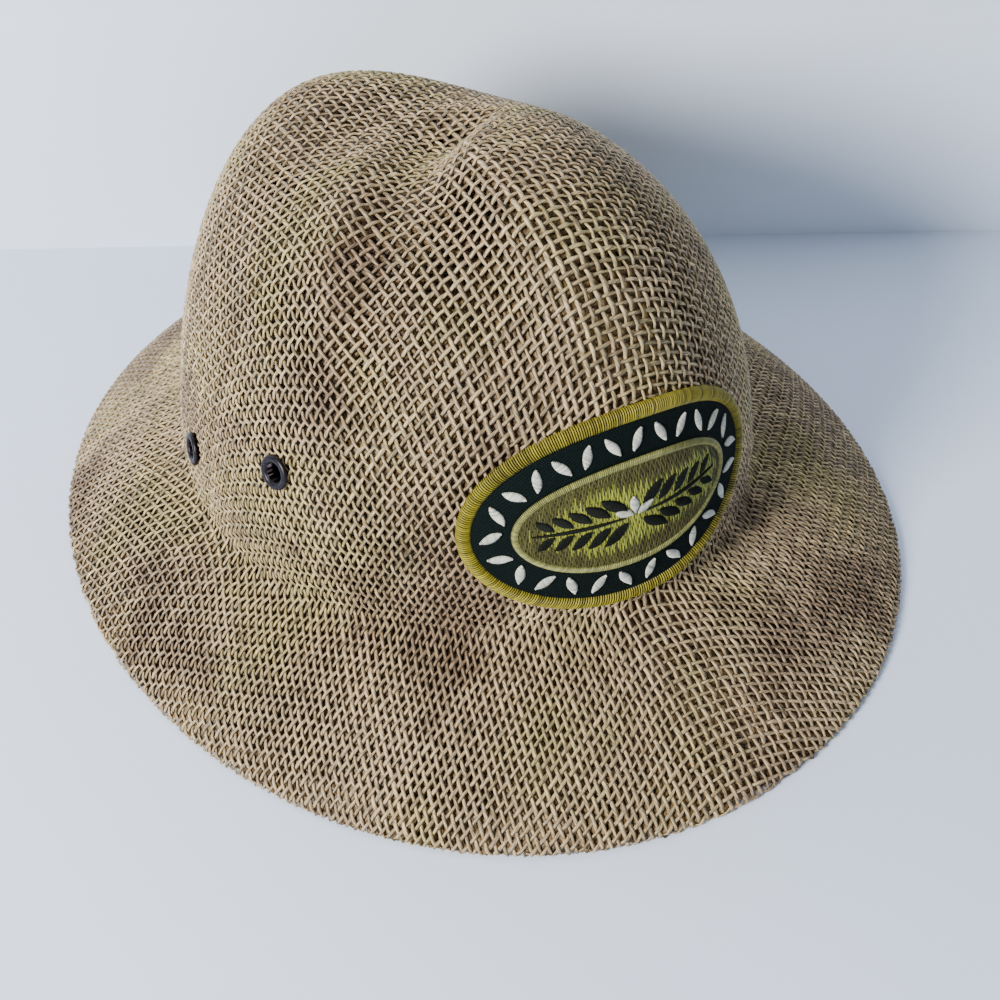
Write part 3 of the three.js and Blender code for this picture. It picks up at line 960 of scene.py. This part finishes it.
def oval_slab(name, wall, half_width, half_height, bottom, top):
    """An oval sheet that follows the wall, with a smooth top, made from a flat disc."""
    slab = bmesh.new()
    line = [slab.verts.new((k / SLAB_RINGS, 0, 0)) for k in range(SLAB_RINGS + 1)]
    edges = [slab.edges.new(pair) for pair in zip(line, line[1:])]
    bmesh.ops.spin(
        slab, geom=line + edges, cent=(0, 0, 0), axis=(0, 0, 1),
        angle=2 * math.pi, steps=SLAB_STEPS, use_merge=True,
    )
    bmesh.ops.remove_doubles(slab, verts=slab.verts[:], dist=0.1 / SLAB_RINGS)
    flat = np.array([v.co[:2] for v in slab.verts])
    spots = wall.points(flat[:, 0] * half_width, flat[:, 1] * half_height, top)
    for vert, spot in zip(slab.verts, spots):
        vert.co = spot
    bmesh.ops.recalc_face_normals(slab, faces=slab.faces[:])
    if slab.faces[0].normal.dot(Vector((0, -1, 0))) < 0:
        bmesh.ops.reverse_faces(slab, faces=slab.faces[:])
    bmesh.ops.solidify(slab, geom=slab.faces[:], thickness=top - bottom)
    for face in slab.faces:
        face.smooth = True
    mesh = bpy.data.meshes.new(name)
    slab.to_mesh(mesh)
    slab.free()
    return mesh


def thread_arches(name, wall, starts, ends, seat, rise, half_width):
    """Satin threads: each runs over the wall from a start to an end as a low arch."""
    share = np.linspace(0, 1, THREAD_STATIONS)[None, :]
    across = starts[:, :1] * (1 - share) + ends[:, :1] * share
    up = starts[:, 1:] * (1 - share) + ends[:, 1:] * share
    arch = np.sin(np.pi * (ARCH_FOOT + ARCH_SPAN * share)) ** 0.7
    centres = wall.points(across, up, seat + rise * arch)
    ups = wall.normals(across, up)
    width = np.full(across.shape, half_width)
    keep = np.ones(across.shape, bool)
    rng = np.random.default_rng(5)
    tones = 0.5 + 0.2 * rng.normal(0, 1, (len(starts), 1)) * np.ones((1, THREAD_STATIONS))
    return tube_mesh(name, centres, ups, width, width * 0.8, THREAD_SIDES, keep, tones)


def oval_spot(half_width, half_height, angle):
    return np.stack([half_width * np.cos(angle), half_height * np.sin(angle)], -1)


def even_angles(half_width, half_height, count):
    """Angles that stand evenly along an oval's outline."""
    fine = np.linspace(0, 2 * np.pi, 2001)
    line = oval_spot(half_width, half_height, fine)
    length = np.concatenate([[0], np.cumsum(np.linalg.norm(np.diff(line, axis=0), axis=1))])
    return np.interp(np.arange(count) / count * length[-1], length, fine)


def leaf_threads(middle, direction, length, width):
    """Starts and ends of the satin threads that fill a leaf."""
    count = max(4, int(length / LEAF_SPACING))
    share = (np.arange(count) + 0.5) / count
    half = width / 2 * np.sin(np.pi * share) ** 0.75
    along = (share - 0.5) * length
    axis = np.array([math.cos(direction), math.sin(direction)])
    side = np.array([-axis[1], axis[0]])
    slant = 0.35 * half[:, None] * axis
    spine = middle + along[:, None] * axis
    return spine - half[:, None] * side - slant, spine + half[:, None] * side + slant


def fill_threads(half_width, half_height):
    """Starts and ends of upright stitches that fill an oval, staggered from row to row."""
    starts, ends = [], []
    columns = np.arange(-half_width + FILL_SPACING, half_width, FILL_SPACING)
    for k, x in enumerate(columns):
        reach = half_height * math.sqrt(1 - (x / half_width) ** 2)
        offset = STITCH_STAGGER[k % 4] * STITCH_LENGTH
        cuts = np.arange(-half_height - offset, half_height + STITCH_LENGTH, STITCH_LENGTH)
        cuts = np.unique(np.clip(cuts, -reach, reach))
        cuts = np.stack([np.full(len(cuts), x), cuts], -1)
        starts.append(cuts[:-1])
        ends.append(cuts[1:])
    starts, ends = np.concatenate(starts), np.concatenate(ends)
    long = np.abs(ends[:, 1] - starts[:, 1]) > FILL_SPACING
    return starts[long], ends[long]


RING_MARKS = 26
BUD_TURNS = (0.5 * math.pi, 0.5 * math.pi - 1.1, 0.5 * math.pi + 1.1)
MARK_LENGTH = 6.6 * MM
MARK_WIDTH = 2.6 * MM


def leaf_piece(name, wall, leaves, seat, rise):
    """One mesh of leaves, each given by its middle, direction, length and width."""
    ends = [leaf_threads(*leaf) for leaf in leaves]
    first = np.concatenate([pair[0] for pair in ends])
    last = np.concatenate([pair[1] for pair in ends])
    return thread_arches(name, wall, first, last, seat, rise, LEAF_HALF_THREAD)


def make_patch_ground(colours, wall):
    width = EDGE_HALF_WIDTH - GROUND_INSET
    height = EDGE_HALF_HEIGHT - GROUND_INSET
    ground = oval_slab("patch_twill", wall, width, height, 0.5 * MM, GROUND_TOP)
    twill = thread_material(
        "patch_twill", colours.ground, 0.9, 0.1, ribs=0.5, turn=0.7, spacing=9000.0
    )
    show_piece(ground, twill, "patch_twill", "patch_ground")


def make_patch_border(colours, wall, rng):
    """Overlock stitches that wrap the patch's edge, each a half turn over it."""
    angle = even_angles(EDGE_HALF_WIDTH, EDGE_HALF_HEIGHT, WRAPS)
    outer = oval_spot(EDGE_HALF_WIDTH, EDGE_HALF_HEIGHT, angle)
    inner = oval_spot(
        EDGE_HALF_WIDTH - BORDER_WIDTH, EDGE_HALF_HEIGHT - BORDER_WIDTH, angle + WRAP_LEAN
    )
    turn = np.linspace(-WRAP_TUCK, np.pi + WRAP_TUCK, WRAP_STATIONS)[None, :]
    share = (1 - np.cos(turn)) / 2
    wobble = 1 + rng.normal(0, 0.02, (WRAPS, 1))
    across = outer[:, :1] * (1 - share) + inner[:, :1] * share
    up = outer[:, 1:] * (1 - share) + inner[:, 1:] * share
    lift = BORDER_LIFT + 0.2 * MM + WRAP_HEIGHT * np.maximum(-0.2, np.sin(turn)) * wobble
    centres = wall.points(across, up, lift)
    core = wall.points((outer[:, :1] + inner[:, :1]) / 2, (outer[:, 1:] + inner[:, 1:]) / 2, 0.0)
    width = np.full((WRAPS, WRAP_STATIONS), WRAP_HALF_WIDTH)
    tones = 0.5 + 0.3 * rng.normal(0, 1, (WRAPS, 1)) * np.ones((1, WRAP_STATIONS))
    wraps = tube_mesh(
        "patch_border_wraps", centres, unit(centres - core), width, width * 1.3, 6,
        np.ones(width.shape, bool), tones,
    )
    border = thread_material("border_thread", colours.border, 0.42, 0.35)
    show_piece(wraps, border, "border_thread", "patch_border")


def make_patch_field(colours, wall, rng):
    """Upright stitches, bright in the field's middle and olive round it."""
    starts, ends = fill_threads(FIELD_HALF_WIDTH - 1 * MM, FIELD_HALF_HEIGHT - 1 * MM)
    middle = (starts + ends) / 2
    wave = 0.12 * np.sin(middle[:, 0] / (5 * MM)) + rng.normal(0, 0.05, len(middle))
    reach = np.hypot(middle[:, 0] / LENS_HALF_WIDTH, middle[:, 1] / LENS_HALF_HEIGHT)
    lens = reach + wave < 1
    cloth = thread_material("field_thread", colours.field, 0.5, 0.3)
    bright = thread_material("field_bright_thread", colours.field_bright, 0.4, 0.5)
    for name, material, chosen in (
        ("patch_field_threads", cloth, ~lens), ("patch_field_bright", bright, lens),
    ):
        fill = thread_arches(
            name, wall, starts[chosen], ends[chosen], STITCH_SEAT, 0.45 * MM, 0.24 * MM
        )
        show_piece(fill, material, "field_thread", "patch_field")


def make_patch_ring(colours, wall):
    angle = even_angles(FIELD_HALF_WIDTH, FIELD_HALF_HEIGHT, RING_THREADS)
    outer = oval_spot(FIELD_HALF_WIDTH, FIELD_HALF_HEIGHT, angle)
    inner = oval_spot(
        FIELD_HALF_WIDTH - RING_WIDTH, FIELD_HALF_HEIGHT - RING_WIDTH, angle + RING_LEAN
    )
    rim = thread_arches(
        "patch_ring_threads", wall, outer, inner, STITCH_SEAT, 0.9 * MM, 0.26 * MM
    )
    gold = thread_material("ring_thread", colours.ring, 0.4, 0.5)
    show_piece(rim, gold, "pale_thread", "patch_ring")


def make_patch_marks(pale, wall):
    """Pale leaf marks round the green ring, leaning to either side in turn."""
    half_width = (EDGE_HALF_WIDTH - BORDER_WIDTH + FIELD_HALF_WIDTH) / 2
    half_height = (EDGE_HALF_HEIGHT - BORDER_WIDTH + FIELD_HALF_HEIGHT) / 2
    leaves = []
    for k, turn in enumerate(even_angles(half_width, half_height, RING_MARKS)):
        spot = oval_spot(half_width, half_height, turn)
        outwards = math.atan2(spot[1] / half_height**2, spot[0] / half_width**2)
        lean = 0.5 if k % 2 else -0.5
        leaves.append((spot, outwards + lean, MARK_LENGTH, MARK_WIDTH))
    marks = leaf_piece("patch_ring_marks", wall, leaves, GROUND_TOP, 0.55 * MM)
    show_piece(marks, pale, "pale_thread")


def make_patch_sprig(colours, wall):
    """A sprig of dark leaves in pairs on two stems."""
    leaves = []
    for side in (-1, 1):
        for k in range(SPRIG_LEAVES):
            x = side * (5.6 + 4.7 * k) * MM
            length = (8.8 - 0.75 * k) * MM
            width = (3.4 - 0.25 * k) * MM
            for up in (-1, 1):
                spot = np.array([x, up * (4.8 - 0.5 * k) * MM])
                leaves.append((spot, math.atan2(up * 0.8, side), length, width))
        stem = np.array([side * 15.5 * MM, 0.0])
        leaves.append((stem, 0.0, 25 * MM, 1.2 * MM))
    sprig = leaf_piece("patch_sprig", wall, leaves, SPRIG_SEAT, 0.4 * MM)
    dark = thread_material("motif_thread", colours.motif, 0.7, 0.15)
    show_piece(sprig, dark, "patch_twill")


def make_patch_buds(pale, wall):
    leaves = []
    for turn in BUD_TURNS:
        axis = np.array([math.cos(turn), math.sin(turn)])
        leaves.append((axis * 3.4 * MM, turn, 5.2 * MM, 2.6 * MM))
    buds = leaf_piece("patch_buds", wall, leaves, BUD_SEAT, 0.5 * MM)
    show_piece(buds, pale, "pale_thread")


def make_patch(colours):
    wall = PatchWall()
    rng = np.random.default_rng(3)
    make_patch_ground(colours, wall)
    make_patch_border(colours, wall, rng)
    make_patch_field(colours, wall, rng)
    make_patch_ring(colours, wall)
    pale = thread_material("pale_thread", colours.pale, 0.45, 0.4)
    make_patch_marks(pale, wall)
    make_patch_sprig(colours, wall)
    make_patch_buds(pale, wall)


# Eyelets

EYELET_RADIUS = 5.1 * MM
EYELET_HOLE = 2.9 * MM
EYELET_NECK = 3.5 * MM
EYELET_TOP = 1.4 * MM
EYELET_FOOT = -WALL_THICKNESS - 0.9 * MM
EYELET_SEAT = 0.25 * MM


def eyelet_profile():
    """Half section of a rolled eyelet: radius and height above the wall."""
    profile = [(EYELET_HOLE, EYELET_FOOT), (EYELET_HOLE, EYELET_TOP * 0.55)]
    middle = (EYELET_RADIUS + EYELET_HOLE) / 2
    for k in range(9):
        turn = math.pi * k / 8
        x = middle - (EYELET_RADIUS - EYELET_HOLE) / 2 * math.cos(turn)
        profile.append((x, EYELET_TOP * 0.45 + EYELET_TOP * 0.55 * math.sin(turn)))
    profile.append((EYELET_RADIUS, EYELET_SEAT))
    profile.append((EYELET_NECK, EYELET_SEAT))
    profile.append((EYELET_NECK, EYELET_FOOT * 0.8))
    profile.append((EYELET_RADIUS * 0.95, EYELET_FOOT * 0.85))
    profile.append((EYELET_RADIUS * 0.9, EYELET_FOOT))
    return profile


def make_eyelets(colours):
    """Rolled metal rings in the crown's vent holes."""
    material = metal_material(colours)
    centres, axes = eyelet_axes()
    for name, centre, axis in zip(EYELETS, centres, axes):
        ring = bmesh.new()
        verts = [ring.verts.new((x, 0, z)) for x, z in eyelet_profile()]
        edges = [ring.edges.new((a, b)) for a, b in zip(verts, verts[1:] + verts[:1])]
        bmesh.ops.spin(
            ring, geom=verts + edges, cent=(0, 0, 0), axis=(0, 0, 1),
            angle=2 * math.pi, steps=40, use_merge=True,
        )
        bmesh.ops.recalc_face_normals(ring, faces=ring.faces[:])
        turn = Vector((0, 0, 1)).rotation_difference(Vector(axis)).to_matrix().to_4x4()
        place = Matrix.Translation(Vector(centre)) @ turn
        bmesh.ops.transform(ring, matrix=place, verts=ring.verts)
        for face in ring.faces:
            face.smooth = True
        mesh = bpy.data.meshes.new(name + "_ring")
        ring.to_mesh(mesh)
        ring.free()
        show_piece(mesh, material, "eyelet_metal", name)


# Stage

FLOOR_COLOUR = (0.72, 0.8, 0.94)
WALL_COLOUR = (0.78, 0.86, 0.98)
SKY_COLOUR = (0.82, 0.89, 1.0)
SKY_STRENGTH = 0.34
ROOM_REACH = 3.0
ROOM_HEIGHT = 1.2


def plain_material(name, colour, roughness):
    material, _, _, shader = new_material(name)
    set_inputs(shader, Base_Color=(*colour, 1), Roughness=roughness, Specular_IOR_Level=0.2)
    return material


def one_sided_material(name, colour, roughness):
    """A plain material that can't be seen from behind, so that views from the back stay open."""
    material = plain_material(name, colour, roughness)
    nodes, links = material.node_tree.nodes, material.node_tree.links
    side = nodes.new("ShaderNodeNewGeometry")
    clear = nodes.new("ShaderNodeBsdfTransparent")
    mix = nodes.new("ShaderNodeMixShader")
    links.new(side.outputs["Backfacing"], mix.inputs["Fac"])
    links.new(nodes["Principled BSDF"].outputs["BSDF"], mix.inputs[1])
    links.new(clear.outputs["BSDF"], mix.inputs[2])
    links.new(mix.outputs["Shader"], nodes["Material Output"].inputs["Surface"])
    return material


def plane_piece(name, corners, material):
    sheet = bmesh.new()
    sheet.faces.new([sheet.verts.new(c) for c in corners])
    mesh = bpy.data.meshes.new(name)
    sheet.to_mesh(mesh)
    sheet.free()
    mesh.materials.append(material)
    plane = bpy.data.objects.new(name, mesh)
    bpy.context.scene.collection.objects.link(plane)


def area_light(name, place, target, size, power, colour):
    lamp = bpy.data.lights.new(name, "AREA")
    lamp.shape = "DISK"
    lamp.size = size
    lamp.energy = power
    lamp.color = colour
    piece = bpy.data.objects.new(name, lamp)
    bpy.context.scene.collection.objects.link(piece)
    piece.location = place
    piece.rotation_mode = "QUATERNION"
    piece.rotation_quaternion = (Vector(target) - Vector(place)).to_track_quat("-Z", "Y")


def camera_axes(settings):
    """Directions back to the camera, to its right and up in its picture."""
    a, e = settings.azimuth, settings.elevation
    back = Vector((math.sin(a) * math.cos(e), -math.cos(a) * math.cos(e), math.sin(e)))
    right = Vector((math.cos(a), math.sin(a), 0))
    up = back.cross(right)
    c, s = math.cos(settings.roll), math.sin(settings.roll)
    return back, right * c + up * s, up * c - right * s


def make_camera(settings, back, right, up):
    camera = bpy.data.cameras.new("camera")
    camera.lens = settings.lens
    camera.sensor_width = 36
    camera.clip_start = 0.01
    camera.clip_end = 50
    eye = bpy.data.objects.new("camera", camera)
    bpy.context.scene.collection.objects.link(eye)
    turn = Matrix((right, up, back)).transposed()
    place = Vector(settings.target) + back * settings.distance
    eye.matrix_world = Matrix.Translation(place) @ turn.to_4x4()
    bpy.context.scene.camera = eye


def make_room(settings, back):
    """A pale floor, and a pale wall behind the hat across the camera's view."""
    floor = plain_material("floor", FLOOR_COLOUR, 0.75)
    wall = one_sided_material("wall", WALL_COLOUR, 0.9)
    reach = ROOM_REACH
    corners = [(-reach, -reach, 0), (reach, -reach, 0), (reach, reach, 0), (-reach, reach, 0)]
    plane_piece("floor", corners, floor)
    middle = Vector((-back.x, -back.y, 0)).normalized() * settings.wall_distance
    middle.rotate(Quaternion((0, 0, 1), settings.wall_turn))
    side = Vector((-middle.y, middle.x, 0)).normalized()
    left, right = middle + side * reach, middle - side * reach
    height = Vector((0, 0, ROOM_HEIGHT))
    plane_piece("wall", [left, right, right + height, left + height], wall)


def make_light(back, right, up):
    """A soft key from the camera's left, a weak fill from its right and a pale sky."""
    world = bpy.data.worlds.new("soft_room")
    world.use_nodes = True
    sky = world.node_tree.nodes["Background"]
    set_inputs(sky, Color=(*SKY_COLOUR, 1), Strength=SKY_STRENGTH)
    bpy.context.scene.world = world
    aim = Vector((0, 0, 50 * MM))
    key = aim - right * 0.6 + back * 0.85 - up * 0.15
    fill = aim + right * 1.2 + back * 1.0
    area_light("key", key, aim, 0.36, 23, (1, 0.98, 0.95))
    area_light("fill", fill, aim, 1.5, 1.5, (0.85, 0.92, 1))


def make_stage(settings):
    back, right, up = camera_axes(settings)
    make_camera(settings, back, right, up)
    make_room(settings, back)
    make_light(back, right, up)


# Operators

OUTER_DEPTH = 0.7 * MM
INNER_DEPTH = 2.1 * MM
INNER_SHIFT = np.array([0.4, 0.6])
# Painted shade on the inner layer: a darker, browner factor on its straw colour, for the shade
# behind the outer layer.
INNER_PAINTED_SHADE = (0.33, 0.27, 0.19)


@functools.cache
def shell_table():
    """The shell's table and the cloth's net on it, worked out once."""
    table = ShellTable()
    return table, blocked_net(table)


class HAT_OT_outer_cloth(bpy.types.Operator):
    """Weave the outer layer of straw, blocked over the shell and turned under at the edge"""

    bl_idname = "hat.outer_cloth"
    bl_label = "Outer straw layer"

    def execute(self, context):
        settings = context.scene.hat_cloth
        material = straw_material(context.scene.hat_colours, "straw_cloth", (1, 1, 1))
        meshes = yarn_layer(
            settings, settings.yarn_width, OUTER_DEPTH, 0.0, np.zeros(2),
            OUTER_STATIONS, True, "outer_cloth", 2,
        )
        for mesh in meshes.values():
            show_piece(mesh, material, "straw_cloth", "woven_body")
        return {"FINISHED"}


class HAT_OT_inner_cloth(bpy.types.Operator):
    """Weave the inner layer of straw, turned a little against the outer one"""

    bl_idname = "hat.inner_cloth"
    bl_label = "Inner straw layer"

    def execute(self, context):
        settings = context.scene.hat_cloth
        # The inner layer's straw colour is darkened by painted shade.
        material = straw_material(context.scene.hat_colours, "straw_cloth_inner", INNER_PAINTED_SHADE)
        meshes = yarn_layer(
            settings, settings.inner_width, INNER_DEPTH, settings.layer_turn,
            INNER_SHIFT * settings.pitch, INNER_STATIONS, False, "inner_cloth", 1,
        )
        for mesh in meshes.values():
            show_piece(mesh, material, "straw_cloth", "woven_body")
        return {"FINISHED"}


class HAT_OT_eyelets(bpy.types.Operator):
    """Turn the four rolled vent eyelets"""

    bl_idname = "hat.eyelets"
    bl_label = "Vent eyelets"

    def execute(self, context):
        make_eyelets(context.scene.hat_colours)
        return {"FINISHED"}


class HAT_OT_patch(bpy.types.Operator):
    """Make the embroidered patch with its border, ring, marks and sprig"""

    bl_idname = "hat.patch"
    bl_label = "Embroidered patch"

    def execute(self, context):
        make_patch(context.scene.hat_colours)
        return {"FINISHED"}


class HAT_OT_stage(bpy.types.Operator):
    """Set the floor, wall, lights and camera"""

    bl_idname = "hat.stage"
    bl_label = "Stage"

    def execute(self, context):
        make_stage(context.scene.hat_stage)
        return {"FINISHED"}


OPERATORS = (
    HAT_OT_outer_cloth,
    HAT_OT_inner_cloth,
    HAT_OT_eyelets,
    HAT_OT_patch,
    HAT_OT_stage,
)


class HAT_PT_panel(bpy.types.Panel):
    """Lists the hat's settings and its operators"""

    bl_idname = "HAT_PT_panel"
    bl_label = "Safari hat"
    bl_space_type = "VIEW_3D"
    bl_region_type = "UI"
    bl_category = "Hat"

    def draw(self, context):
        scene = context.scene
        for settings in (scene.hat_cloth, scene.hat_colours, scene.hat_stage):
            for key in settings.__annotations__:
                self.layout.prop(settings, key)
        for operator in OPERATORS:
            self.layout.operator(operator.bl_idname)


GROUPS = {
    "hat_cloth": HatClothSettings,
    "hat_colours": HatColourSettings,
    "hat_stage": HatStageSettings,
}


def register():
    for cls in (*GROUPS.values(), *OPERATORS, HAT_PT_panel):
        bpy.utils.register_class(cls)
    for name, cls in GROUPS.items():
        setattr(bpy.types.Scene, name, bpy.props.PointerProperty(type=cls))


def unregister():
    for name in GROUPS:
        delattr(bpy.types.Scene, name)
    for cls in (HAT_PT_panel, *reversed(OPERATORS), *reversed(GROUPS.values())):
        bpy.utils.unregister_class(cls)


def main():
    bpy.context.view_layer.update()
    register()
    for operator in OPERATORS:
        category, name = operator.bl_idname.split(".")
        getattr(getattr(bpy.ops, category), name)()


if __name__ == "__main__":
    main()
